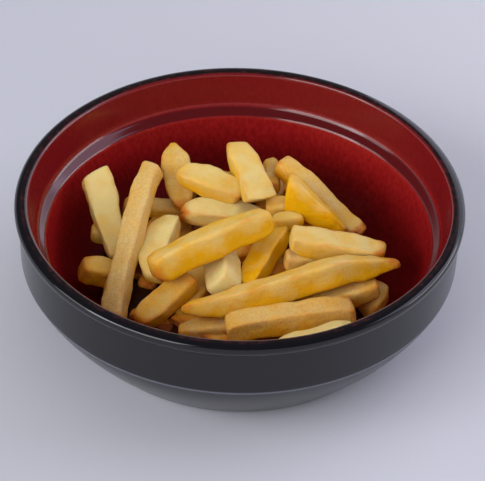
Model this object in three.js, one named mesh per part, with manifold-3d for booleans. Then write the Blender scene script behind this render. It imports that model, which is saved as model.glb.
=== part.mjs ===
// A bowl of french fries: a round stoneware bowl with a rolled lip, and the heap of fries that
// lies in it, fused into one closed solid. Millimetres, +Z up, the bowl stands on z = 0.
import * as THREE from 'three';
import { mergeVertices } from 'three/addons/utils/BufferGeometryUtils.js';
import Module from 'manifold-3d';

const wasm = await Module();
wasm.setup();

// ---- the bowl: radius and height of each place on its section ----
const BOWL_SIDES = 72;
const CURVE_STEPS = 4;
const FLOOR = { radius: 48, height: 7 };
// the two places that pull the cavity's wall into its curve
const FLOOR_PULL = { radius: 64, height: 7 };
const WALL_PULL = { radius: 73.5, height: 17 };
const CAVITY_EDGE = { radius: 77.4, height: 37.4 };
const LEDGE_BEND = { radius: 77.7, height: 39.1 };
const LEDGE_IN = { radius: 79, height: 39.9 };
const LEDGE_OUT = { radius: 80.6, height: 41.1 };
const COLLAR_BEND = { radius: 82, height: 42.1 };
const COLLAR = { radius: 82.3, height: 44.2 };
const LIP = { inside: 84.3, outside: 90, top: 56.9, innerRound: 1.2 };
// the lip falls from its top to its widest place in one curve, and another turns under it
const LIP_FALL = { radius: 88.2, height: 56.5 };
const LIP_WIDEST = 54.8;
const LIP_UNDER = 52.8;
const BAND_TOP = { radius: 88.6, height: 51.6 };
const CREASE = { radius: 88.2, height: 32 };
const BELLY = { radius: 83.5, height: 21 };
const HEEL = { radius: 69.2, height: 4.8 };
const HEEL_PULL = { radius: 66, height: 0.4 };
const FOOT = { outer: 62, inner: 55.5, recess: 1.8 };

// ---- the heap ----
const CORE_SIDES = 32;
const CORE = [[0, 7.5], [46, 7.6], [53, 9.7], [56.5, 13], [57, 15.5], [54, 17.8], [43, 19.3], [0, 20.5]];
const CUT = 8.5;
const CORNER = 0.18;
const END_BEVEL = 1;
const END_REACH = 1.5 * END_BEVEL;
const RINGS = 5;
const TAPER_SHARE = 0.35;

// Each fry runs between the centres of its two ends. It is wide x thick, rolled about its own
// length by degrees, bowed, swept and waved by millimetres, narrowed towards its far end by the
// share in wedge, narrowed at each end by a factor, and its ends can be cut at a slant.
const FRIES = [
  // against the left wall
  {
    from: [-60.8, 34, 41], to: [-49, 3, 21], wide: 14, thick: 7.5,
    wedge: 0.28, taper: [0.9, 1], slant: [-0.3, 0],
  },
  { from: [-61.5, 16, 22.5], to: [-40, 17, 19], wide: 7.5, thick: 7.5, roll: 10, taper: [0.85, 0.9] },
  {
    from: [-36.5, 35, 44], to: [-49.5, -34, 19], wide: 9.2, roll: 20,
    bow: 0.8, sweep: -0.8, wedge: -0.05, taper: [0.92, 1], slant: [0.3, 0],
  },
  { from: [-49.5, 37, 19.5], to: [-23, 35, 20], wide: 8, thick: 8 },
  { from: [-64.3, -7, 23], to: [-47.5, -6.5, 18.5], wide: 10, thick: 9 },
  { from: [-43, -4, 18.5], to: [-29, -6, 18] },
  // behind, with their tips up
  { from: [-29, 55, 41], to: [-22.5, 27, 27.5], wide: 12, roll: 10, taper: [0.2, 0.7] },
  { from: [-25.5, 33.5, 43], to: [1, 22.5, 39.5], wide: 10.8, roll: 10, taper: [0.7, 0.75] },
  {
    from: [-24.5, 22.5, 29.5], to: [9.5, 18.5, 28.5], wide: 10.5, thick: 9, roll: 10,
    bow: 2.8, taper: [0.6, 0.9],
  },
  { from: [-10, 37.5, 34], to: [16.5, 34, 36], taper: [0.9, 0.75] },
  { from: [8.8, 15.8, 42.6], to: [-2.2, 45.5, 47.8], wide: 13.5, roll: 5, wedge: 0.22, taper: [0.95, 0.85] },
  { from: [12, 53, 35.5], to: [15.5, 42, 22.5], wide: 7.5, thick: 7, taper: [0.7, 0.9] },
  // the slope on the right
  { from: [16.5, 39, 45], to: [49.5, 14, 25.5], wide: 9, taper: [0.85, 0.9] },
  {
    from: [18.5, 18, 45.5], to: [43, 10, 31.5], wide: 15, roll: 75,
    wedge: 0.6, taper: [0.9, 0.8], slant: [-0.5, 0],
  },
  { from: [13.5, 9, 36.5], to: [26, 11, 37], wide: 6.5, thick: 6, taper: [0.8, 0.8] },
  { from: [11, 20, 35.5], to: [28, 18.5, 35.5], wide: 8, thick: 8 },
  {
    from: [20.5, -4.5, 40.4], to: [59, -7.5, 35.5], wide: 12.5, thick: 9,
    bow: -1, wedge: 0.15, taper: [0.75, 0.7],
  },
  { from: [18.5, -8.5, 31.3], to: [45, -5, 28], wide: 9 },
  // the middle
  {
    from: [-27.5, 17, 31], to: [-34.5, -15.5, 25], wide: 12.5, thick: 9, roll: 10,
    sweep: -2.5, taper: [0.6, 0.55],
  },
  { from: [-34, -27, 40], to: [12, -1, 47], wide: 12.5, thick: 11, roll: -25, bow: 0.5, taper: [0.85, 0.8] },
  { from: [-12.5, -3, 24], to: [-20.5, -28, 20.5], wide: 10, thick: 8, taper: [0.9, 0.7] },
  { from: [-8, -4, 33.5], to: [-5.7, -26.5, 29.5], wide: 12, thick: 11, roll: 42 },
  { from: [18, 12, 33.5], to: [3.5, -21.5, 27], wide: 9.8, thick: 9, roll: 10 },
  // along the front
  { from: [-19, -20.5, 31.5], to: [-39, -38, 22], wide: 10.5, thick: 9.5, roll: -10, taper: [0.9, 0.85] },
  { from: [-43, -28, 16.5], to: [-24.5, -36, 15], wide: 8, thick: 8, taper: [0.8, 0.9] },
  {
    from: [-21.8, -39.5, 30], to: [63.5, -15, 35], wide: 11, thick: 10.5, roll: -25,
    bow: 0.7, wave: -1.4, taper: [0.35, 0.4],
  },
  {
    from: [-4, -50, 29.5], to: [46.5, -37, 29.3], wide: 11.5, thick: 9.5, roll: -10,
    bow: 1.5, taper: [0.95, 0.95],
  },
  { from: [-23, -41, 19.5], to: [3.5, -37, 20.5], wide: 9, thick: 9, taper: [0.6, 0.9] },
  { from: [14, -60, 29], to: [46, -45.5, 29.5], wide: 9, thick: 7, roll: -15, taper: [0.7, 0.5] },
  { from: [14, -30.5, 22], to: [56.5, -20.6, 28.5], taper: [0.9, 0.8] },
  { from: [58.7, -10.5, 20.5], to: [51.7, -24.5, 17], taper: [0.8, 0.8] },
  // the bed they lie on
  { from: [-34, 6.5, 19.5], to: [6, 6, 20.5] },
  { from: [-20, 23, 21.5], to: [14, 24, 21.5] },
  { from: [-22, 47, 20.5], to: [24, 50, 20.5] },
  { from: [-26, 45, 28.5], to: [8, 43, 29] },
  { from: [24, 12, 18.5], to: [44, 36, 18.5] },
  { from: [23, 28, 30], to: [41, 2, 26] },
  { from: [0, -8, 19.5], to: [48, -3, 20.5] },
  { from: [-8, -20, 19.5], to: [32, -15, 21] },
  { from: [8, -44, 21], to: [44, -34, 21] },
  { from: [14, -53, 19], to: [42, -42, 19] },
];

// The bowl's section, from the middle of its inner floor over the lip to the middle underneath.
function bowlSection() {
  const path = new THREE.Path();
  path.moveTo(0, FLOOR.height);
  path.lineTo(FLOOR.radius, FLOOR.height);
  path.bezierCurveTo(
    FLOOR_PULL.radius, FLOOR_PULL.height, WALL_PULL.radius, WALL_PULL.height,
    CAVITY_EDGE.radius, CAVITY_EDGE.height,
  );
  path.quadraticCurveTo(LEDGE_BEND.radius, LEDGE_BEND.height, LEDGE_IN.radius, LEDGE_IN.height);
  path.lineTo(LEDGE_OUT.radius, LEDGE_OUT.height);
  path.quadraticCurveTo(COLLAR_BEND.radius, COLLAR_BEND.height, COLLAR.radius, COLLAR.height);
  const { inside, outside, top, innerRound } = LIP;
  path.lineTo(inside, top - innerRound);
  path.absarc(inside + innerRound, top - innerRound, innerRound, Math.PI, Math.PI / 2, true);
  path.bezierCurveTo(LIP_FALL.radius, top, outside, LIP_FALL.height, outside, LIP_WIDEST);
  path.quadraticCurveTo(outside, LIP_UNDER, BAND_TOP.radius, BAND_TOP.height);
  path.lineTo(CREASE.radius, CREASE.height);
  path.quadraticCurveTo(BELLY.radius, BELLY.height, HEEL.radius, HEEL.height);
  path.quadraticCurveTo(HEEL_PULL.radius, HEEL_PULL.height, FOOT.outer, 0);
  path.lineTo(FOOT.inner, 0);
  path.lineTo(FOOT.inner - FOOT.recess, FOOT.recess);
  path.lineTo(0, FOOT.recess);
  return path.getPoints(CURVE_STEPS).reverse();
}

// Turns a section of [radius, height] points about the Z axis.
function turned(points, sides) {
  const geometry = new THREE.LatheGeometry(points, sides);
  geometry.rotateX(Math.PI / 2);
  return closed(geometry);
}

// Merges what meets and drops the flat triangles that a lathe leaves at its axis.
function closed(geometry) {
  geometry.deleteAttribute('normal');
  geometry.deleteAttribute('uv');
  const merged = mergeVertices(geometry, 0.0001);
  const kept = [];
  const index = merged.index.array;
  for (let i = 0; i < index.length; i += 3) {
    const [a, b, c] = index.slice(i, i + 3);
    if (a !== b && b !== c && c !== a) kept.push(a, b, c);
  }
  merged.setIndex(kept);
  return merged;
}

function solidOf(geometry) {
  const triVerts = new Uint32Array(geometry.index.array);
  const vertProperties = new Float32Array(geometry.attributes.position.array);
  return new wasm.Manifold(new wasm.Mesh({ numProp: 3, vertProperties, triVerts }));
}

function geometryOf(solid) {
  const mesh = solid.getMesh();
  const geometry = new THREE.BufferGeometry();
  geometry.setAttribute('position', new THREE.BufferAttribute(mesh.vertProperties, 3));
  geometry.setIndex(new THREE.BufferAttribute(mesh.triVerts, 1));
  return geometry;
}

// How much of its full width a fry has at a share of its length.
function girth(share, taper) {
  const nearStart = Math.min(1, share / TAPER_SHARE);
  const nearEnd = Math.min(1, (1 - share) / TAPER_SHARE);
  const start = taper[0] + (1 - taper[0]) * Math.sin(nearStart * Math.PI / 2);
  const end = taper[1] + (1 - taper[1]) * Math.sin(nearEnd * Math.PI / 2);
  return start * end;
}

// The square section of a cut potato stick, with its corners taken off.
function stickSection(wide, thick) {
  const x = wide / 2;
  const y = thick / 2;
  const inX = x * (1 - 2 * CORNER);
  const inY = y * (1 - 2 * CORNER);
  const corners = [[x, -inY], [x, inY], [inX, y], [-inX, y], [-x, inY], [-x, -inY], [-inX, -y], [inX, -y]];
  return new THREE.Shape(corners.map(([cx, cy]) => new THREE.Vector2(cx, cy)));
}

function fry({
  from, to, wide = CUT, thick = CUT, roll = 0, bow = 0, sweep = 0, wave = 0, wedge = 0,
  taper = [0.9, 0.9], slant = [0, 0],
}) {
  const start = new THREE.Vector3(...from);
  const along = new THREE.Vector3(...to).sub(start);
  const length = along.length();
  along.normalize();
  const across = new THREE.Vector3(0, 0, 1).cross(along).normalize();
  across.applyAxisAngle(along, THREE.MathUtils.degToRad(roll));
  const over = along.clone().cross(across);

  const geometry = new THREE.ExtrudeGeometry(stickSection(wide, thick), {
    depth: length - 2 * END_BEVEL,
    steps: RINGS,
    bevelThickness: END_BEVEL,
    bevelSize: END_BEVEL,
    bevelOffset: -END_BEVEL,
    bevelSegments: 1,
  });
  const position = geometry.attributes.position;
  const point = new THREE.Vector3();
  for (let i = 0; i < position.count; i += 1) {
    point.fromBufferAttribute(position, i);
    const reach = point.z + END_BEVEL;
    const share = reach / length;
    const size = girth(share, taper) * (1 - wedge * share);
    const arch = 4 * share * (1 - share);
    const ripple = Math.sin(2 * Math.PI * share);
    const atEnd = [reach < END_REACH, length - reach < END_REACH];
    const tilt = (atEnd[0] ? slant[0] : 0) + (atEnd[1] ? slant[1] : 0);
    const x = point.x * size;
    const y = point.y * size;
    point.copy(start);
    point.addScaledVector(along, reach + tilt * x);
    point.addScaledVector(across, x + sweep * arch);
    point.addScaledVector(over, y + bow * arch + wave * ripple);
    position.setXYZ(i, point.x, point.y, point.z);
  }
  return closed(geometry);
}

// All fries and the core in one solid. Of its shells the largest is the outside.
function heap() {
  const core = CORE.map(([radius, height]) => new THREE.Vector2(radius, height));
  let fused = solidOf(turned(core, CORE_SIDES));
  for (const row of FRIES) {
    fused = fused.add(solidOf(fry(row)));
  }
  const shells = fused.decompose();
  shells.sort((a, b) => b.volume() - a.volume());
  return geometryOf(shells[0]);
}

const glaze = new THREE.MeshStandardMaterial({ color: '#151417', roughness: 0.15, metalness: 0 });
const potato = new THREE.MeshStandardMaterial({ color: '#d9a548', roughness: 0.6, metalness: 0 });
potato.flatShading = true;

const portion = new THREE.Group();
const bowl = new THREE.Mesh(turned(bowlSection(), BOWL_SIDES), glaze);
bowl.name = 'bowl';
portion.add(bowl);
const fries = new THREE.Mesh(heap(), potato);
fries.name = 'fries';
portion.add(fries);

export default portion;
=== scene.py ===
# %% [markdown]
# # A bowl of french fries
#
# The real thing is a side dish: thick-cut potato fries heaped in a round stoneware bowl that
# is glazed black outside and iron red inside. Its sizes were settled in a CAD model, which is
# loaded first as a fixed frame. Here each CAD solid gets a stand-in with the finish of the real
# thing: the bowl is turned again with finer curves, and the heap is laid again fry by fry.
# Blender works in metres, so sizes in millimetres are multiplied by MM.

import math
import random

import bmesh
import bpy
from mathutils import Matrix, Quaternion, Vector, noise


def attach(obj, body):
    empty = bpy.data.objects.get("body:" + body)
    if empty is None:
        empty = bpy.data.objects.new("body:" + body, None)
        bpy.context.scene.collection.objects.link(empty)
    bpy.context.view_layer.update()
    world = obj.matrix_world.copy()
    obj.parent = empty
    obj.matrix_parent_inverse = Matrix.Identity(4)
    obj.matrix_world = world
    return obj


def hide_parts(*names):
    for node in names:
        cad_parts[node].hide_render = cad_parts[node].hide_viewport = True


MM = 0.001
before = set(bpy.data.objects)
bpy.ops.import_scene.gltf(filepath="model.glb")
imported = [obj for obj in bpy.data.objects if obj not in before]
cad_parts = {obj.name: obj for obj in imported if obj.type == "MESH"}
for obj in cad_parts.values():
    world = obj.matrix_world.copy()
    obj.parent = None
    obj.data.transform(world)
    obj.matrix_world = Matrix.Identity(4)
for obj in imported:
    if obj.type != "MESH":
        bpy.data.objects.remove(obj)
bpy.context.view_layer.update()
print("frame nodes:", sorted(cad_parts))

# %% [markdown]
# ## Camera
#
# The dish is seen from its front, from a good third of the way up to straight above. A long lens
# 0.9 m away keeps the far rim almost as wide as the near one. The camera is held a degree and a
# half off level, so it is rolled about its own line of sight.

# %% Place the camera
RIM_CENTRE = Vector((0, 0, 54)) * MM
AIM = Vector((1.43, 0, 33.98)) * MM
CAMERA_DISTANCE = 0.9
CAMERA_HEIGHT_ANGLE = math.radians(38.74)
CAMERA_ROLL = math.radians(1.57)
LENS_MM = 166.9
SENSOR_MM = 36

away = Vector((0, -math.cos(CAMERA_HEIGHT_ANGLE), math.sin(CAMERA_HEIGHT_ANGLE)))
camera_data = bpy.data.cameras.new("camera")
camera_data.lens = LENS_MM
camera_data.sensor_width = SENSOR_MM
camera = bpy.data.objects.new("camera", camera_data)
bpy.context.scene.collection.objects.link(camera)
camera.location = RIM_CENTRE + CAMERA_DISTANCE * away
level = (AIM - camera.location).to_track_quat("-Z", "Y")
camera.rotation_mode = "QUATERNION"
camera.rotation_quaternion = level @ Quaternion((0, 0, 1), CAMERA_ROLL)
bpy.context.scene.camera = camera
print("camera at", [round(c, 3) for c in camera.location])

# %% [markdown]
# ## Material helpers
#
# Colours are written as sRGB hex, the way a colour picker shows them, and shaders work in linear
# light, so one function turns the one into the other. A second function adds a node, sets it up
# and fills its sockets with a value or with a link from another node. The others are short names
# for the few steps that every material here is built from.


# %% Colour and node helpers
def linear(hex_colour):
    """Turns an sRGB hex colour into the linear RGBA that shader sockets take."""
    channels = [int(hex_colour[i : i + 2], 16) / 255 for i in (1, 3, 5)]
    return [c / 12.92 if c <= 0.04045 else ((c + 0.055) / 1.055) ** 2.4 for c in channels] + [1]


def new_material(name):
    """Makes an empty material and returns it with its node tree."""
    material = bpy.data.materials.new(name)
    material.use_nodes = True
    material.node_tree.nodes.clear()
    return material, material.node_tree


def add(tree, kind, sockets=None, **settings):
    """Adds one node. Sockets go by name or number and take a value or another node's output."""
    node = tree.nodes.new(kind)
    for name, value in settings.items():
        setattr(node, name, value)
    for key, value in (sockets or {}).items():
        if isinstance(value, bpy.types.NodeSocket):
            tree.links.new(value, node.inputs[key])
        else:
            node.inputs[key].default_value = value
    return node


def blend_colours(tree, share, first, second):
    """Mixes two colours by a share from 0 to 1 and returns the result's socket."""
    sockets = {0: share, 6: first, 7: second}
    return add(tree, "ShaderNodeMix", sockets, data_type="RGBA").outputs[2]


def rescale(tree, value, low, high, to_low=0.0, to_high=1.0):
    """Maps low..high to to_low..to_high, with a soft start and end, and returns the socket."""
    sockets = {"Value": value, "From Min": low, "From Max": high, "To Min": to_low, "To Max": to_high}
    return add(tree, "ShaderNodeMapRange", sockets, interpolation_type="SMOOTHSTEP").outputs[0]


def between(tree, value, span, to_low=0.0, to_high=1.0):
    """Does the same for a place in metres and a span of places in millimetres."""
    return rescale(tree, value, span[0] * MM, span[1] * MM, to_low, to_high)


def calculate(tree, operation, *values, **settings):
    """Does one step of arithmetic on sockets or numbers and returns the result's socket."""
    return add(tree, "ShaderNodeMath", dict(enumerate(values)), operation=operation, **settings).outputs[0]


def cloudy(tree, place, scale, detail):
    """A cloudy pattern of so many clouds to the metre, with values round a half."""
    return add(tree, "ShaderNodeTexNoise", {"Vector": place, "Scale": scale, "Detail": detail}).outputs[0]


def raised(tree, height, strength, distance):
    """Relief from a pattern of heights, for a surface's Normal socket."""
    sockets = {"Height": height, "Strength": strength, "Distance": distance}
    return add(tree, "ShaderNodeBump", sockets).outputs[0]


def object_place(tree):
    """The place of each point of an object, in metres, and its height alone."""
    place = add(tree, "ShaderNodeTexCoord").outputs["Object"]
    return place, add(tree, "ShaderNodeSeparateXYZ", {"Vector": place}).outputs["Z"]


def dress(tree, sockets):
    """Ends a material with one surface that takes the given sockets."""
    surface = add(tree, "ShaderNodeBsdfPrincipled", sockets).outputs[0]
    add(tree, "ShaderNodeOutputMaterial", {"Surface": surface})
    print("material nodes:", len(tree.nodes))


# %% [markdown]
# ## Table
#
# The dish stands on a plain pale surface. A plane would do for the camera, but a plane with a
# faint unevenness in its colour looks like a painted board.


# %% Make the table
def deselect_all():
    """Leaves edit mode and deselects every object."""
    if bpy.context.object and bpy.context.object.mode != "OBJECT":
        bpy.ops.object.mode_set(mode="OBJECT")
    bpy.ops.object.select_all(action="DESELECT")


TABLE_WIDTH = 8
BACK_RIGHT = (0.7, 0.35, 0)
deselect_all()
bpy.ops.mesh.primitive_plane_add(size=TABLE_WIDTH)
table = bpy.context.object
table.name = "table"

# painted board: matt, so that the dish casts a soft shadow on it and isn't mirrored in it
painted_board, tree = new_material("painted_board")
place = add(tree, "ShaderNodeTexCoord").outputs["Object"]
# clouds about 330 mm wide
shade = blend_colours(tree, cloudy(tree, place, 3.0, 1.0), linear("#b8b9c4"), linear("#bebfca"))
# towards the back right the board is painted a little paler, as painted light falling there
sockets = {0: place, 1: BACK_RIGHT}
painted_light_way = add(tree, "ShaderNodeVectorMath", sockets, operation="DOT_PRODUCT").outputs["Value"]
shade = blend_colours(tree, rescale(tree, painted_light_way, -0.2, 0.3), shade, linear("#d1d1d9"))
dress(tree, {"Base Color": shade, "Roughness": 0.75})
table.data.materials.append(painted_board)

# %% [markdown]
# ## Light
#
# Soft light from all round, as in a pale room with windows and a dark ceiling. The glazes are
# almost mirrors, so each window also draws their highlights: the two on the left draw a white
# line along the lip's outer edge and two along the ledge at the back right, and the pale walls on
# the right show in the ledge at the left and along the lip. Three fills only soften the shadows
# and are kept out of the mirrors, so the lip's top stays near black. A panel's power is worked
# out from how bright it should look. The plain view transform keeps the colours as they are.


# %% Set the lights
def softbox(name, position, wide, high, brightness, mirrored=True, colour="#ffffff"):
    """A light panel, in metres, that faces the dish and looks so many times as bright as paper."""
    data = bpy.data.lights.new(name, "AREA")
    data.shape = "RECTANGLE"
    data.size, data.size_y = wide, high
    data.energy = math.pi * wide * high * brightness
    data.color = linear(colour)[:3]
    lamp = bpy.data.objects.new(name, data)
    bpy.context.scene.collection.objects.link(lamp)
    lamp.location = position
    lamp.rotation_mode = "QUATERNION"
    lamp.rotation_quaternion = (RIM_CENTRE - lamp.location).to_track_quat("-Z", "Y")
    lamp.visible_glossy = mirrored


softbox("front_left_window", (-0.80, -0.70, 0.75), 1.0, 0.6, 4.6)
softbox("left_window", (-1.14, -0.30, 0.65), 0.7, 0.6, 2.4)
softbox("right_window", (1.35, 0.30, 0.50), 1.0, 0.3, 4.0)
softbox("right_wall", (1.10, 0.30, 0.88), 1.2, 0.85, 1.9, colour="#e6e2ff")
softbox("back_right_wall", (0.80, 1.30, 0.70), 1.2, 0.9, 1.3, colour="#e6e8ff")
softbox("overhead_fill", (0.10, 0.20, 1.35), 0.8, 0.8, 0.7, mirrored=False)
softbox("front_fill", (-0.1, -1.2, 0.7), 1.2, 0.8, 1.5, mirrored=False)
softbox("ceiling_fill", (0, 0, 1.6), 2.4, 2.4, 0.45, mirrored=False)

# the room's own glow is bright near the horizon and fades to a dark ceiling
HORIZON_GLOW, CEILING_GLOW = 1.1, 0.12
room = bpy.data.worlds.new("room")
room.use_nodes = True
tree = room.node_tree
tree.nodes.clear()
direction = add(tree, "ShaderNodeTexCoord").outputs["Generated"]
climb = add(tree, "ShaderNodeSeparateXYZ", {"Vector": direction}).outputs["Z"]
fading = rescale(tree, climb, 0.05, 0.45, HORIZON_GLOW, CEILING_GLOW)
glow = add(tree, "ShaderNodeBackground", {"Color": linear("#e9ebf2"), "Strength": fading})
add(tree, "ShaderNodeOutputWorld", {"Surface": glow.outputs[0]})
bpy.context.scene.world = room
bpy.context.scene.view_settings.view_transform = "Standard"
print("light panels:", len(bpy.data.lights))

# %% [markdown]
# ## The bowl's section
#
# A stoneware bowl is thrown or jiggered, so it is a solid of revolution: one section turned about
# its axis. From the middle of the inner floor the section climbs the cavity's wall to a ledge that
# lets bowls stack, goes up a collar to a round lip, over it, down an upright band to a sharp
# crease, and in along the lower body to the foot ring. The corners are eased by short curves,
# because a glaze never leaves a sharp one, and those curves are what catch the light.

# %% Name its corners
# a pair is a radius and a height in millimetres, and a number alone is a height
FLOOR = 7
WALL_TOP = (77.4, 37.4)
LEDGE_INSIDE, LEDGE_OUTSIDE = (79.0, 39.9), (80.2, 40.8)
COLLAR_FOOT, COLLAR_TOP = (82.5, 45.3), (84.3, 54.9)
LIP_TOP = 56.9
LIP_CREST = (86.6, LIP_TOP)
LIP_SIDE = (90, 54.8)
BAND_TOP, BAND_FOOT = (88.6, 51.6), (88.24, 32.6)
CREASE = (87.9, 31.5)
HEEL = (69.2, 4.8)
FOOT_OUTSIDE, FOOT_INSIDE = (62, 0), (55.5, 0)
RECESS = 1.8

# each stretch has the corners that only pull it, the corner that it ends at, and its steps
STRETCHES = [
    ([(64, FLOOR), (73.5, 17)], WALL_TOP, 24),
    ([(77.7, 39.1)], LEDGE_INSIDE, 8),
    ([], LEDGE_OUTSIDE, 3),
    ([(82.0, 42.1)], COLLAR_FOOT, 12),
    ([], COLLAR_TOP, 6),
    ([(84.5, LIP_TOP)], LIP_CREST, 14),
    ([(88.6, LIP_TOP), (90, 56.4)], LIP_SIDE, 18),
    ([(90, 52.8)], BAND_TOP, 10),
    ([], BAND_FOOT, 8),
    ([(88.2, 32.0)], CREASE, 4),
    ([(83.5, 21)], HEEL, 18),
    ([(66, 0.4)], FOOT_OUTSIDE, 8),
    ([], FOOT_INSIDE, 2),
    ([], (53.7, RECESS), 2),
]
print("stretches:", len(STRETCHES))


# %% Draw the section
def curve_points(corners, steps):
    """Points along the Bezier curve that the given corners pull, without its first point."""
    points = []
    for step in range(1, steps + 1):
        t = step / steps
        level_points = [Vector(c) for c in corners]
        while len(level_points) > 1:
            level_points = [a.lerp(b, t) for a, b in zip(level_points, level_points[1:])]
        points.append(level_points[0])
    return points


section = [Vector((radius, FLOOR)) for radius in (0, 16, 32, 48)]
for pulling, end, steps in STRETCHES:
    section += curve_points([section[-1], *pulling, end], steps)
section += [Vector((radius, RECESS)) for radius in (36, 18, 0)]
print("section points:", len(section))

# %% [markdown]
# ## Turning the bowl
#
# Blender's Spin tool is the potter's wheel. A plane is merged to a single point, the point is
# extruded along the section, and the line that this leaves is spun once round Z. The two ends lie
# on the axis, so they are merged to close the poles, and the normals are made to point outwards.

# %% Turn the section into a bowl
TURNS = 168
SHARPEST_SMOOTHED = math.radians(40)
deselect_all()
bpy.ops.mesh.primitive_plane_add(size=0.01, location=(0, 0, section[0].y * MM))
bowl = bpy.context.object
bowl.name = "glazed_bowl"
bpy.ops.object.mode_set(mode="EDIT")
bpy.ops.mesh.select_all(action="SELECT")
bpy.ops.mesh.merge(type="CENTER")
for here, there in zip(section, section[1:]):
    step = ((there.x - here.x) * MM, 0, (there.y - here.y) * MM)
    bpy.ops.mesh.extrude_region_move(TRANSFORM_OT_translate={"value": step})
bpy.ops.mesh.select_all(action="SELECT")
bpy.ops.mesh.spin(steps=TURNS, angle=2 * math.pi, center=(0, 0, 0), axis=(0, 0, 1))
bpy.ops.mesh.select_all(action="SELECT")
bpy.ops.mesh.remove_doubles(threshold=0.01 * MM)
bpy.ops.mesh.normals_make_consistent(inside=False)
bpy.ops.object.mode_set(mode="OBJECT")
bpy.ops.object.transform_apply(location=True, rotation=True, scale=True)
bpy.ops.object.shade_smooth_by_angle(angle=SHARPEST_SMOOTHED)
print("bowl faces:", len(bowl.data.polygons))

# %% [markdown]
# ## Glazes
#
# Both glazes are glass fused on the clay, with an IOR near 1.5. Outside it is a black glaze with
# a satin skin, which breaks up what it mirrors. Over the lip it ran smooth and bright. Inside it
# is a red one, whose iron crystals leave a fine mottling that runs down the wall as it melted. It
# is painted darker low down the wall and on the ledge, as painted shade, browner on the collar,
# partly where it ran thin and partly as painted shade, and nearly black over the lip. Each glaze
# gets its own material, and the faces from just outside the lip's crest to the middle of the floor
# take the red one.

# %% Black glaze
GLASS_IOR = 1.5
# heights in millimetres between which each change happens
GLOSS_GROWS = (50, 53)
GREY_BEGINS, GREY_ENDS = (31.2, 31.9), (32.2, 33)
# satin black glaze: dark, with a blurred image of the table and a sharp line of light on the lip
black_glaze, tree = new_material("black_satin_glaze")
place, height = object_place(tree)
# the skin has dimples some 3 mm apart, too shallow to see but for the way they soften reflections
relief = raised(tree, cloudy(tree, place, 330.0, 2.0), 0.08, 0.2 * MM)
lip_gloss = between(tree, height, GLOSS_GROWS, 0.22, 0.10)
# a grey line painted over the sharp crease is a painted highlight along its edge
above_heel = between(tree, height, GREY_BEGINS)
below_band = between(tree, height, GREY_ENDS, 1.0, 0.0)
painted_crease_highlight = calculate(tree, "MULTIPLY", above_heel, below_band)
black = blend_colours(tree, painted_crease_highlight, linear("#0c0b10"), linear("#5a5a66"))
dress(tree, {"Base Color": black, "Roughness": lip_gloss, "IOR": GLASS_IOR, "Normal": relief})

# %% Red glaze
# heights in millimetres between which each change happens
BRIGHT_GROWS, LEDGE_SHADE_BEGINS, LEDGE_SHADE_ENDS = (18, 40), (38.5, 39.4), (41.4, 42.4)
BROWN_GROWS, DULL_ENDS, SHINE_GROWS = (40.5, 44), (18, 36), (30, 38)
# the same for the black of the lip, but as distances from the axis
BLACK_BEGINS = (84.6, 85.7)
BORDER_DRIFT = 1.2 * MM
# iron red glaze: a deep mottled red under clear glass, brown and then black towards the lip
red_glaze, tree = new_material("red_iron_glaze")
place, height = object_place(tree)
runs = add(tree, "ShaderNodeMapping", {"Vector": place, "Scale": (1, 1, 0.6)}).outputs[0]
# crystals about 1.5 mm wide, and longer down the wall
crystals = cloudy(tree, runs, 650.0, 3.0)
mottle = rescale(tree, crystals, 0.25, 0.8)
bright_red = blend_colours(tree, mottle, linear("#861416"), linear("#9c1d1e"))
# lower down the wall the red is painted darker, as painted shade deep in the bowl
painted_shade_red = blend_colours(tree, mottle, linear("#540809"), linear("#6a0d0e"))
red = blend_colours(tree, between(tree, height, BRIGHT_GROWS), painted_shade_red, bright_red)
# the ledge, between its two bends, is painted darker, as painted shade
above_ledge = between(tree, height, LEDGE_SHADE_BEGINS)
below_collar = between(tree, height, LEDGE_SHADE_ENDS, 1.0, 0.0)
painted_ledge_shade = calculate(tree, "MULTIPLY", above_ledge, below_collar)
red = blend_colours(tree, painted_ledge_shade, red, linear("#540a0e"))
# on the collar it is browner, partly where the glaze ran thin and partly as painted shade
brown = blend_colours(tree, between(tree, height, BROWN_GROWS, 0.0, 0.6), red, linear("#5c1417"))
# on the lip it is nearly black, with maroon flecks about 2 mm wide
flecks = rescale(tree, cloudy(tree, place, 500.0, 2.0), 0.45, 0.7)
lip = blend_colours(tree, flecks, linear("#140c0e"), linear("#34171a"))
# the black begins at the lip's inner edge, and its border wanders by about half a millimetre
# either way, in waves about 17 mm long
drift = calculate(tree, "MULTIPLY_ADD", cloudy(tree, place, 60.0, 2.0), BORDER_DRIFT, -BORDER_DRIFT / 2)
level_place = add(tree, "ShaderNodeVectorMath", {0: place, 1: (1, 1, 0)}, operation="MULTIPLY").outputs[0]
reach = add(tree, "ShaderNodeVectorMath", {0: level_place}, operation="LENGTH").outputs["Value"]
lip_share = between(tree, calculate(tree, "ADD", reach, drift), BLACK_BEGINS)
colour = blend_colours(tree, lip_share, brown, lip)
# further down a film of starch dulls it
dulled = between(tree, height, DULL_ENDS, 0.3, 0.14)
shine = between(tree, height, SHINE_GROWS, 0.05, 0.5)
relief = raised(tree, crystals, 0.03, 0.2 * MM)
dress(tree, {
    "Base Color": colour, "Roughness": dulled, "IOR": GLASS_IOR, "Specular IOR Level": shine,
    "Normal": relief,
})

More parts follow.
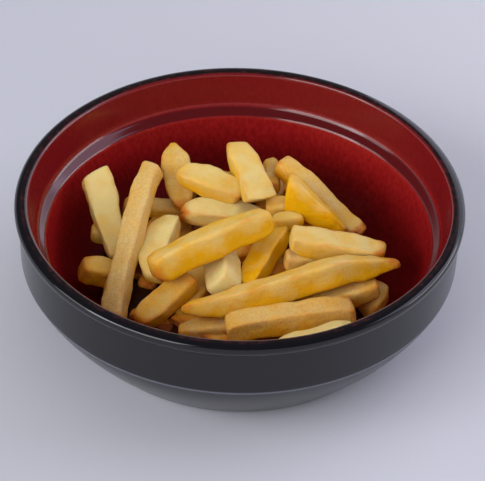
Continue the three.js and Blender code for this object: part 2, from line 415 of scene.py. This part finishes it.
# %% Glaze the bowl
# in millimetres: how far from the axis the red glaze goes, above which height it begins, and how
# much it weighs that a face looks up
RED_REACH, RED_FROM_HEIGHT, UP_WEIGHS = 87.5, 6, 20
bowl.data.materials.append(black_glaze)
bowl.data.materials.append(red_glaze)
for face in bowl.data.polygons:
    middle = face.center / MM
    in_reach = math.hypot(middle.x, middle.y) < RED_REACH and middle.z > RED_FROM_HEIGHT
    # an inner face looks at the axis or up, an outer one away from the axis or down
    faces_in = face.normal.dot(Vector((middle.x, middle.y, -UP_WEIGHS))) < 0
    face.material_index = 1 if in_reach and faces_in else 0
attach(bowl, "root")
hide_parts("bowl")
print("red faces:", sum(face.material_index for face in bowl.data.polygons))

# %% [markdown]
# ## One raw stick
#
# Every fry starts as the same thing, a potato stick off the cutter, so one stick is modelled and
# copied. It is a cube cut into many slices along its length and a few across. The cube keeps
# sides of -1 to 1: each copy is brought to its own size when it is cooked.

# %% Cut the stick
LENGTH_CUTS = 35
FACE_CUTS = 9
# an edge runs along an axis when this share of its length does
ALONG_AXIS = 0.99
deselect_all()
bpy.ops.mesh.primitive_cube_add(size=2)
stick = bpy.context.object
stick.name = "raw_stick"
bpy.ops.object.mode_set(mode="EDIT")
bpy.ops.mesh.select_mode(type="EDGE")
for axis, cuts in ((2, LENGTH_CUTS), (0, FACE_CUTS), (1, FACE_CUTS)):
    mesh = bmesh.from_edit_mesh(stick.data)
    for edge in mesh.edges:
        run = edge.verts[1].co - edge.verts[0].co
        edge.select_set(abs(run[axis]) > ALONG_AXIS * run.length)
    bmesh.update_edit_mesh(stick.data)
    bpy.ops.mesh.subdivide(number_cuts=cuts)
bpy.ops.object.mode_set(mode="OBJECT")
print("stick faces:", len(stick.data.polygons))


# %% [markdown]
# ## Cooking a stick
#
# Frying dries and stiffens the stick: its edges and ends round off, it tapers, bows, wanders and
# twists, its cut ends lean, and its skin turns uneven. Each of these is a small rule for where a
# point of the stick goes. The slices are first gathered near the edges and the ends, where the
# rounding needs them. The same rules give three numbers for each point that the finish reads as
# attributes: toast and shade, how brown it is, which is most at edges and tips and which on fries
# low in the heap is painted shade; tone, how golden it is, which is more underneath as painted
# shade; and speckle, how rough and freckled the fry's skin is.


# %% Small rules
TAPER_SHARE = 0.35
MARKS = ("toast_and_shade", "tone", "speckle")


def smooth(low, high, value):
    """A share from 0 at low to 1 at high, with a soft start and end."""
    share = min(1.0, max(0.0, (value - low) / (high - low)))
    return share * share * (3 - 2 * share)


def girth(share, taper):
    """How much of its full width a fry has at a share of its length."""
    near_start = min(1.0, share / TAPER_SHARE)
    near_end = min(1.0, (1 - share) / TAPER_SHARE)
    start = taper[0] + (1 - taper[0]) * math.sin(near_start * math.pi / 2)
    end = taper[1] + (1 - taper[1]) * math.sin(near_end * math.pi / 2)
    return start * end


def round_corners(point, half, radius):
    """Moves a point on the faces of a box of the given half sizes onto the rounded box."""
    core = Vector([max(-(h - radius), min(h - radius, p)) for h, p in zip(half, point)])
    out = point - core
    return core + out.normalized() * radius if out.length > 0 else core


def new_marks(mesh):
    """Adds the three numbers that the crust reads for each point, and returns their values."""
    for mark in MARKS:
        mesh.attributes.new(mark, "FLOAT", "POINT")
    return [mesh.attributes[mark].data for mark in MARKS]


# %% [markdown]
# How strongly each rule works is named here. A pair is how much, and over how many millimetres. A
# reach is how many millimetres of each end a rule works on.

# %% How strongly it cooks
# all rules read one noise, so each fry reads it at its own place, and so does each long edge
SEED_STEP, EDGE_APART = (7.3, 3.1, 5.7), 3.0
EDGE_GATHER, END_GATHER = 0.55, 0.8
MOST_TWIST = math.radians(14)
PUFF_CHANGE, PUFF_USUAL = 0.08, -0.01
MOST_LEAN, LEAN_REACH = 0.4, 10
SWELL = (0.08, 14)
EDGE_CHANGE = (0.5, 12)
# no edge is rounder than this share of half the fry's width
ROUNDEST = 0.8
END_DOME, END_DRAW, END_REACH = 0.012, 0.06, 4.5
BUMPS, LUMPS, CRUMBS = (0.8, 10), (0.45, 4), (0.15, 1.6)
WANDER_ACROSS, WANDER_OVER, WANDER_LENGTH = 0.9, 0.6, 20
EDGE_TOAST, EDGE_START = 0.3, 0.4
TIP_REACH = 6
# painted shade: how much deeper gold the underside of a fry is made
UNDERSIDE_PAINTED_SHADE = 0.8
print("a fry twists by up to", round(math.degrees(MOST_TWIST)), "degrees")


# %% Cook a fry
def cook(name, start, end, wide=8.5, thick=8.5, roll=0, bow=0, sweep=0, wave=0, wedge=0,
         taper=(0.9, 0.9), slant=(0, 0), undercut=(0, 0), tone=0.5, tips=(0.2, 0.2), painted_shade=0,
         speckle=0.3, corner=1.4, seed=0):
    """Makes one fry between two points, all in millimetres, and returns its object."""
    start, end = Vector(start), Vector(end)
    along = (end - start).normalized()
    length = (end - start).length
    across = Vector((0, 0, 1)).cross(along).normalized()
    across = Quaternion(along, math.radians(roll)) @ across
    over = along.cross(across)
    fry = bpy.data.objects.new(name, stick.data.copy())
    bpy.context.scene.collection.objects.link(fry)
    toast_and_shade, tone_with_shade, freckled = new_marks(fry.data)
    drift = Vector([seed * step for step in SEED_STEP])
    twist = MOST_TWIST * noise.noise(drift)
    puff = PUFF_CHANGE * noise.noise(1.7 * drift) + PUFF_USUAL
    lean = [MOST_LEAN * noise.noise(drift + Vector((side, 0, 9))) for side in (1, 2, 3, 4)]
    for vertex in fry.data.vertices:
        u, v, w = vertex.co
        # gather the slices near the edges and the ends
        u_in = u + EDGE_GATHER * math.sin(math.pi * u) / math.pi
        v_in = v + EDGE_GATHER * math.sin(math.pi * v) / math.pi
        share = (w + 1) / 2
        share -= END_GATHER * math.sin(2 * math.pi * share) / (2 * math.pi)
        size = girth(share, taper) * (1 - wedge * share)
        swell = 1 + SWELL[0] * noise.noise(drift + Vector((share * length / SWELL[1], 0, 0)))
        half = Vector((wide / 2 * size * swell, thick / 2 * size / swell, length / 2))
        flat = Vector((u_in * half.x, v_in * half.y, (share * 2 - 1) * half.z))
        # each long edge has its own roundness, which changes along it
        edge_place = Vector((share * length / EDGE_CHANGE[1], EDGE_APART * (u > 0), EDGE_APART * (v > 0)))
        radius = corner * (1 + EDGE_CHANGE[0] * noise.noise(drift + edge_place))
        shaped = round_corners(flat, half, min(radius, ROUNDEST * half.x, ROUNDEST * half.y))
        # the middle of each face puffs up, or on a few fries sinks in
        shaped.x *= 1 + puff * (1 - v_in * v_in)
        shaped.y *= 1 + puff * (1 - u_in * u_in)
        # the ends dome a little, and draw in
        at_end = max(0, 1 - (length / 2 - abs(shaped.z)) / END_REACH) ** 2
        shaped.z *= 1 - at_end * (shaped.x ** 2 + shaped.y ** 2) * END_DOME / (length / 2)
        shaped.x *= 1 - END_DRAW * at_end
        shaped.y *= 1 - END_DRAW * at_end
        # uneven skin, pushed out from the fry's middle line
        outward = Vector((shaped.x, shaped.y, 0))
        outward = outward.normalized() if outward.length > 0 else Vector((0, 0, 0))
        lump = BUMPS[0] * noise.noise(shaped / BUMPS[1] + drift)
        lump += LUMPS[0] * noise.noise(shaped / LUMPS[1] - drift)
        lump += speckle * CRUMBS[0] * noise.noise(shaped / CRUMBS[1] + drift)
        shaped += outward * lump
        turn = twist * (share - 0.5)
        x = shaped.x * math.cos(turn) - shaped.y * math.sin(turn)
        y = shaped.x * math.sin(turn) + shaped.y * math.cos(turn)
        z = shaped.z + length / 2
        # the cut at each end leans
        near, far = max(0, 1 - z / LEAN_REACH), max(0, 1 - (length - z) / LEAN_REACH)
        z += near * (x * (slant[0] + lean[0]) + y * (lean[1] - undercut[0]))
        z += far * (x * (slant[1] + lean[2]) + y * (lean[3] + undercut[1]))
        arch = 4 * share * (1 - share)
        rise = bow * arch + wave * math.sin(2 * math.pi * share)
        # its middle line wanders a little from side to side
        x += WANDER_ACROSS * noise.noise(drift + Vector((share * length / WANDER_LENGTH, 6, 0)))
        y += WANDER_OVER * noise.noise(drift + Vector((share * length / WANDER_LENGTH, 0, 6)))
        spot = start + along * z + across * (x + sweep * arch) + over * (y + rise)
        vertex.co = spot * MM
        # painted shade: a fry's underside is made deeper gold, as warm shade falls there
        underneath = -(across * x + over * y).z / thick
        edge = smooth(EDGE_START, 1.0, min(abs(u_in), abs(v_in)))
        tip = tips[0] * smooth(TIP_REACH, 0, share * length)
        tip += tips[1] * smooth(TIP_REACH, 0, (1 - share) * length)
        toast_and_shade[vertex.index].value = painted_shade + EDGE_TOAST * edge + tip
        tone_with_shade[vertex.index].value = tone + UNDERSIDE_PAINTED_SHADE * underneath
        freckled[vertex.index].value = speckle
    fry.data.polygons.foreach_set("use_smooth", [True] * len(fry.data.polygons))
    return fry


# %% [markdown]
# ## Fried potato
#
# The crust of a fry is dried starch, a matt cream to gold, with fine blisters where steam came
# out, and a film of oil that gives it a soft shine. Light goes a few millimetres into it and
# comes out warmer, so the material has subsurface scattering. Four noises break it up: patches of
# paler and deeper gold, wrinkles, blisters, and stretches that browned more than others. Toast
# shifts the colour through amber to brown, and its deepest step, near black, is painted shade:
# the dark between fries.

# %% Potato crust
# fried potato: warm, slightly see-through gold, with a dull sheen and browner edges
fried_potato, tree = new_material("fried_potato_crust")
place = add(tree, "ShaderNodeTexCoord").outputs["Object"]
toast_and_shade, tone, speckle = [add(tree, "ShaderNodeAttribute", attribute_name=m).outputs["Fac"] for m in MARKS]
# patches about 8 mm wide
patchy = rescale(tree, cloudy(tree, place, 125.0, 2.0), 0.3, 0.7, -0.22, 0.22)
# blisters about 0.9 mm wide, drawn a little coarse so that they show
blisters = cloudy(tree, place, 1100.0, 3.0)
# wrinkles about 3 mm wide
wrinkles = cloudy(tree, place, 340.0, 2.0)
# stretches about 11 mm long lay against the hot basket and browned more, others less
browning = rescale(tree, cloudy(tree, place, 90.0, 3.0), 0.3, 0.7, 0.3, 1.5)
# tone carries the painted shade of the undersides as deeper gold
gold_share = calculate(tree, "ADD", tone, patchy, use_clamp=True)
crust = blend_colours(tree, gold_share, linear("#dfca86"), linear("#e3aa00"))
freckles = rescale(tree, blisters, 0.3, 0.75, 0.2, 0.65)
rough_share = calculate(tree, "MULTIPLY", speckle, freckles)
crust = blend_colours(tree, rough_share, crust, linear("#c27c34"))
uneven_toast_and_shade = calculate(tree, "MULTIPLY", toast_and_shade, browning)
# the last step, near black, is painted shade for the dark between fries
for low, high, hue in ((0.05, 0.9, "#c87a22"), (0.8, 1.5, "#74360f"), (1.8, 2.6, "#240a06")):
    crust = blend_colours(tree, rescale(tree, uneven_toast_and_shade, low, high), crust, linear(hue))
skin = calculate(tree, "MULTIPLY_ADD", wrinkles, 3.0, blisters)
dress(tree, {
    "Base Color": crust, "Roughness": rescale(tree, wrinkles, 0.3, 0.7, 0.32, 0.5), "IOR": 1.45,
    "Specular IOR Level": 0.3, "Normal": raised(tree, skin, 0.5, 0.3 * MM),
    "Subsurface Weight": 0.6, "Subsurface Radius": (1.0, 0.55, 0.15), "Subsurface Scale": 2 * MM,
})

# %% [markdown]
# ## The heap
#
# The fries that show are laid one by one, each between the middles of its two ends, at nearly the
# places that the CAD solid has them. Tone runs from 0, pale cream, to 1, deep gold, and past 1 the
# gold reaches further round the fry. Tips says how brown each end is, painted shade how much
# browner a fry low in the heap is painted as shade, and speckle how rough and freckled its skin is.
# Places and sizes are in millimetres.

# %% Where each fry lies
FRIES = [
    # against the left wall
    dict(start=(-60.8, 34, 41), end=(-49, 3, 21), wide=14, thick=7.5, wedge=0.28, taper=(0.9, 1),
         slant=(-0.3, 0), tone=0.4, tips=(0, 0.1), speckle=0.1),
    dict(start=(-61.5, 16, 22.5), end=(-40, 17, 19), wide=7.5, thick=7.5, roll=10, taper=(0.85, 0.9),
         tone=0.8),
    dict(start=(-36.5, 35, 44), end=(-49.5, -34, 19), wide=8.7, thick=8, roll=20, bow=0.8, sweep=-0.8,
         wedge=-0.05, taper=(0.92, 1), slant=(0.3, 0), tone=0.5, tips=(0.15, 0.3), speckle=0.8),
    dict(start=(-49.5, 37, 19.5), end=(-23, 35, 20), wide=8, thick=8, tone=0.8, speckle=0.6),
    dict(start=(-64.3, -7, 23), end=(-47.5, -6.5, 18.5), wide=10, thick=9, tone=0.9, tips=(0.5, 0.2)),
    # painted shade: this low fry is painted browner, as it lies in the heap's shade
    dict(start=(-43, -4, 18.5), end=(-29, -6, 18), tone=1, painted_shade=1.2),
    # behind, with their tips up
    dict(start=(-29, 55, 41), end=(-22.5, 27, 27.5), wide=12, roll=10, taper=(0.2, 0.55),
         tone=0.75, tips=(0.3, 0.7), speckle=0.6),
    dict(start=(-25.5, 33.5, 43), end=(1, 22.5, 39.5), wide=10.8, roll=10, taper=(0.7, 0.75),
         tone=0.75, tips=(0.1, 0.35), speckle=0.2),
    dict(start=(-24.5, 22.5, 29.5), end=(9.5, 18.5, 28.5), wide=10.5, thick=9, roll=10, bow=2.8,
         taper=(0.6, 0.9), tone=0.3, tips=(0.7, 0), speckle=0.1),
    dict(start=(-10, 37.5, 34), end=(16.5, 34, 36), taper=(0.9, 0.75), tone=0.9),
    dict(start=(8.8, 15.8, 42.6), end=(-2.2, 45.5, 47.8), wide=13.5, roll=5, wedge=0.22,
         taper=(0.95, 0.85), undercut=(0.9, 0), tone=0.65, tips=(0, 0.2), speckle=0.1),
    dict(start=(12, 53, 35.5), end=(15.5, 42, 22.5), wide=7.5, thick=7, taper=(0.7, 0.9),
         tone=0.5, tips=(0.1, 0.3)),
    # the slope on the right
    dict(start=(16.5, 39, 45), end=(49.5, 14, 25.5), wide=9, taper=(0.85, 0.9),
         tone=0.75, tips=(0.4, 2.2), speckle=0.5),
    dict(start=(18.5, 18, 45.5), end=(43, 10, 31.5), wide=15, roll=75, wedge=0.6, taper=(0.9, 0.8),
         slant=(-0.5, 0), tone=1.3, tips=(0, 0.3), speckle=0.1),
    dict(start=(13.5, 9, 36.5), end=(26, 11, 37), wide=6.5, thick=6, taper=(0.8, 0.8), tone=1,
         tips=(0, 0), speckle=0),
    dict(start=(11, 20, 35.5), end=(28, 18.5, 35.5), wide=8, thick=8, tone=0.8, tips=(0, 0), speckle=0),
    dict(start=(20.5, -4.5, 40.4), end=(59, -7.5, 35.5), wide=12.5, thick=9, bow=-1, wedge=0.15,
         taper=(0.75, 0.7), tone=0.65, tips=(0, 0.6), speckle=0.2),
    dict(start=(18.5, -8.5, 31.3), end=(45, -5, 28), wide=9, tone=0.6, speckle=0.7),
    # the middle
    dict(start=(-27.5, 17, 31), end=(-34.5, -15.5, 25), wide=12.5, thick=9, roll=10, sweep=-2.5,
         taper=(0.6, 0.55), tone=0.45, tips=(0.1, 0.1), speckle=0.1),
    dict(start=(-34, -27, 40), end=(12, -1, 47), wide=12.5, thick=11, roll=-25, bow=0.5,
         taper=(0.85, 0.8), tone=1, tips=(0.6, 0.1), speckle=0.2),
    dict(start=(-12.5, -3, 24), end=(-20.5, -28, 20.5), wide=10, thick=8, taper=(0.9, 0.7), tone=0.9),
    dict(start=(-8, -4, 33.5), end=(-5.7, -26.5, 29.5), wide=12, thick=11, roll=42,
         tone=0.15, tips=(0, 0), speckle=0, corner=1.2),
    dict(start=(18, 12, 33.5), end=(3.5, -21.5, 27), wide=9.8, thick=9, roll=10,
         tone=1.25, tips=(0.1, 0.2), speckle=0.1),
    # along the front
    dict(start=(-19, -20.5, 31.5), end=(-38.5, -38, 20.8), wide=10.5, thick=9, roll=-10,
         taper=(0.9, 0.65), tone=0.95, tips=(0.3, 0.5), speckle=0.5),
    # painted shade: this low fry is painted browner, as it lies in the heap's shade
    dict(start=(-43, -28, 16.5), end=(-24.5, -36, 15), wide=8, thick=8, taper=(0.8, 0.9), tone=0.9,
         painted_shade=0.9),
    dict(start=(-21.8, -39.5, 30), end=(64.5, -14.2, 36.3), wide=11, thick=10.5, roll=-25, bow=0.7,
         wave=-1.4, taper=(0.35, 0.28), tone=0.9, tips=(0.35, 1.2), speckle=0.4),
    dict(start=(-4, -50, 29.5), end=(46.5, -37, 29.3), wide=11.5, thick=9.5, roll=-10, bow=1.5,
         taper=(0.95, 0.95), tone=0.8, tips=(0.3, 0.6), speckle=0.9),
    dict(start=(-23, -41, 19.5), end=(3.5, -37, 20.5), wide=9, thick=9, taper=(0.6, 0.9),
         tone=0.75, speckle=0.8),
    dict(start=(14, -60, 29), end=(46, -45.5, 29.5), wide=9, thick=7, roll=-15, taper=(0.7, 0.5),
         tone=0.35, tips=(0, 0.2), speckle=0.1),
    dict(start=(14, -30.5, 22), end=(56.5, -20.6, 28.5), taper=(0.9, 0.8),
         tone=0.75, tips=(0.3, 0.5), speckle=0.7),
    dict(start=(58.7, -10.5, 20.5), end=(51.7, -24.5, 17), taper=(0.8, 0.8), tone=0.8, tips=(0.6, 0.6)),
]
BED = [
    dict(start=(-34, 6.5, 19.5), end=(6, 6, 20.5)),
    dict(start=(-20, 23, 21.5), end=(14, 24, 21.5)),
    dict(start=(-22, 47, 20.5), end=(24, 50, 20.5)),
    dict(start=(-26, 45, 28.5), end=(8, 43, 29)),
    dict(start=(24, 12, 18.5), end=(44, 36, 18.5)),
    dict(start=(23, 28, 30), end=(41, 2, 26)),
    dict(start=(0, -8, 19.5), end=(48, -3, 20.5)),
    dict(start=(-8, -20, 19.5), end=(32, -15, 21)),
    dict(start=(8, -44, 21), end=(44, -34, 21)),
    dict(start=(14, -53, 19), end=(42, -42, 19)),
]
# painted shade: the bed lies deep in the heap, so it is painted deeper gold and browner
BED_LOOK = dict(tone=1.1, tips=(0.5, 0.5), painted_shade=0.8, speckle=0.8)
print("fries that show:", len(FRIES), "and in the bed:", len(BED))


# %% Lay the heap
def join(objects, name):
    """Joins objects into the first of them and names the result."""
    deselect_all()
    for item in objects:
        item.select_set(True)
    bpy.context.view_layer.objects.active = objects[0]
    bpy.ops.object.join()
    objects[0].name = name
    return objects[0]


# a seed sets one fry's own unevenness, so each of the three layers starts at its own number
TOP_SEEDS, BED_SEEDS, SUNK_SEEDS = 1, 50, 80
laid = [cook(f"fry_{number}", seed=number + TOP_SEEDS, **row) for number, row in enumerate(FRIES)]
for number, row in enumerate(BED):
    laid.append(cook(f"bed_{number}", seed=number + BED_SEEDS, **BED_LOOK, **row))
heap = join(laid, "fries_on_top")
heap.data.materials.append(fried_potato)
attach(heap, "root")
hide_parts("fries")
print("heap faces:", len(heap.data.polygons))

# %% [markdown]
# ## The core
#
# Under the fries that show lie as many more, which only show through the gaps. Their lowest layers
# are one mound, the shape of the heap with its fries taken off: a circle, extruded and scaled ring
# by ring. Its colour is painted shade: toast as deep as it goes, near black, as dark as the shaded
# gaps between fries are.

# %% Raise the core
# the mound's rings from the bottom up, each a radius and a height in millimetres
CORE = [(46, 7.6), (53, 9.7), (56.5, 13), (57, 15.5), (54, 17.8), (43, 19.3), (30, 19.8), (15, 20.2)]
CORE_SIDES = 96
# painted shade: the core is toasted so deep that it is near black, like the shaded gaps
CORE_PAINTED_SHADE, CORE_TONE, CORE_SPECKLE = 8.0, 1.0, 0.5
deselect_all()
bottom_radius, bottom_height = CORE[0]
bpy.ops.mesh.primitive_circle_add(
    vertices=CORE_SIDES, radius=bottom_radius * MM, fill_type="NGON", location=(0, 0, bottom_height * MM)
)
core = bpy.context.object
core.name = "fries_beneath"
bpy.ops.object.mode_set(mode="EDIT")
bpy.ops.mesh.select_all(action="SELECT")
for (here_radius, here_height), (radius, height) in zip(CORE, CORE[1:]):
    rise = (0, 0, (height - here_height) * MM)
    bpy.ops.mesh.extrude_region_move(TRANSFORM_OT_translate={"value": rise})
    ratio = radius / here_radius
    bpy.ops.transform.resize(value=(ratio, ratio, 1))
bpy.ops.mesh.select_all(action="SELECT")
bpy.ops.mesh.normals_make_consistent(inside=False)
bpy.ops.object.mode_set(mode="OBJECT")
bpy.ops.object.transform_apply(location=True, rotation=True, scale=True)
for mark, value in zip(new_marks(core.data), (CORE_PAINTED_SHADE, CORE_TONE, CORE_SPECKLE)):
    mark.foreach_set("value", [value] * len(core.data.vertices))
print("mound faces:", len(core.data.polygons))

# %% [markdown]
# ## The fries beneath
#
# The top layer of the mound is real fries, sunk into it by more than half. Each next one is turned
# from the last by the golden angle, 137.5 degrees, which spreads them evenly, and the outer ones
# lie along the mound's edge. At the front left the real heap has a hole, so none is laid there.

# %% Lay the fries beneath
BENEATH = 40
GOLDEN_ANGLE = math.radians(137.5)
# distances from the axis, in millimetres: of the last fry, of those that lie any way, of those
# that lie lower because the mound falls there, and by how much
OUTERMOST, ANY_WAY_WITHIN, LOWER_BEYOND, LOWER_BY = 49, 26, 42, 1.5
MOST_ASKEW = 0.5
HALF_LENGTHS, LEVELS = (12, 17), (16.6, 17.8)
HOLE, HOLE_RADIUS = Vector((-39, -18)), 16
# painted shade: the fries beneath are painted deeper gold and browner, as they lie in shade
SUNK_LOOK = dict(tone=1.0, painted_shade=0.7, speckle=0.7)
draw = random.Random(11)
sunk = []
for number in range(BENEATH):
    turn = number * GOLDEN_ANGLE
    out = OUTERMOST * math.sqrt((number + 0.5) / BENEATH)
    middle = Vector((math.cos(turn), math.sin(turn))) * out
    if out < ANY_WAY_WITHIN:
        heading = draw.uniform(0, math.pi)
    else:
        heading = turn + math.pi / 2 + draw.uniform(-MOST_ASKEW, MOST_ASKEW)
    reach = Vector((math.cos(heading), math.sin(heading))) * draw.uniform(*HALF_LENGTHS)
    level = draw.uniform(*LEVELS) - (LOWER_BY if out > LOWER_BEYOND else 0)
    if (middle - HOLE).length < HOLE_RADIUS:
        continue
    ends = dict(start=(*(middle - reach), level), end=(*(middle + reach), level))
    sunk.append(cook(f"sunk_{number}", seed=number + SUNK_SEEDS, **SUNK_LOOK, **ends))
core = join([core] + sunk, "fries_beneath")
core.data.materials.append(fried_potato)
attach(core, "root")
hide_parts("fries")
bpy.data.objects.remove(stick)
print("fries sunk in:", len(sunk), "and core faces:", len(core.data.polygons))
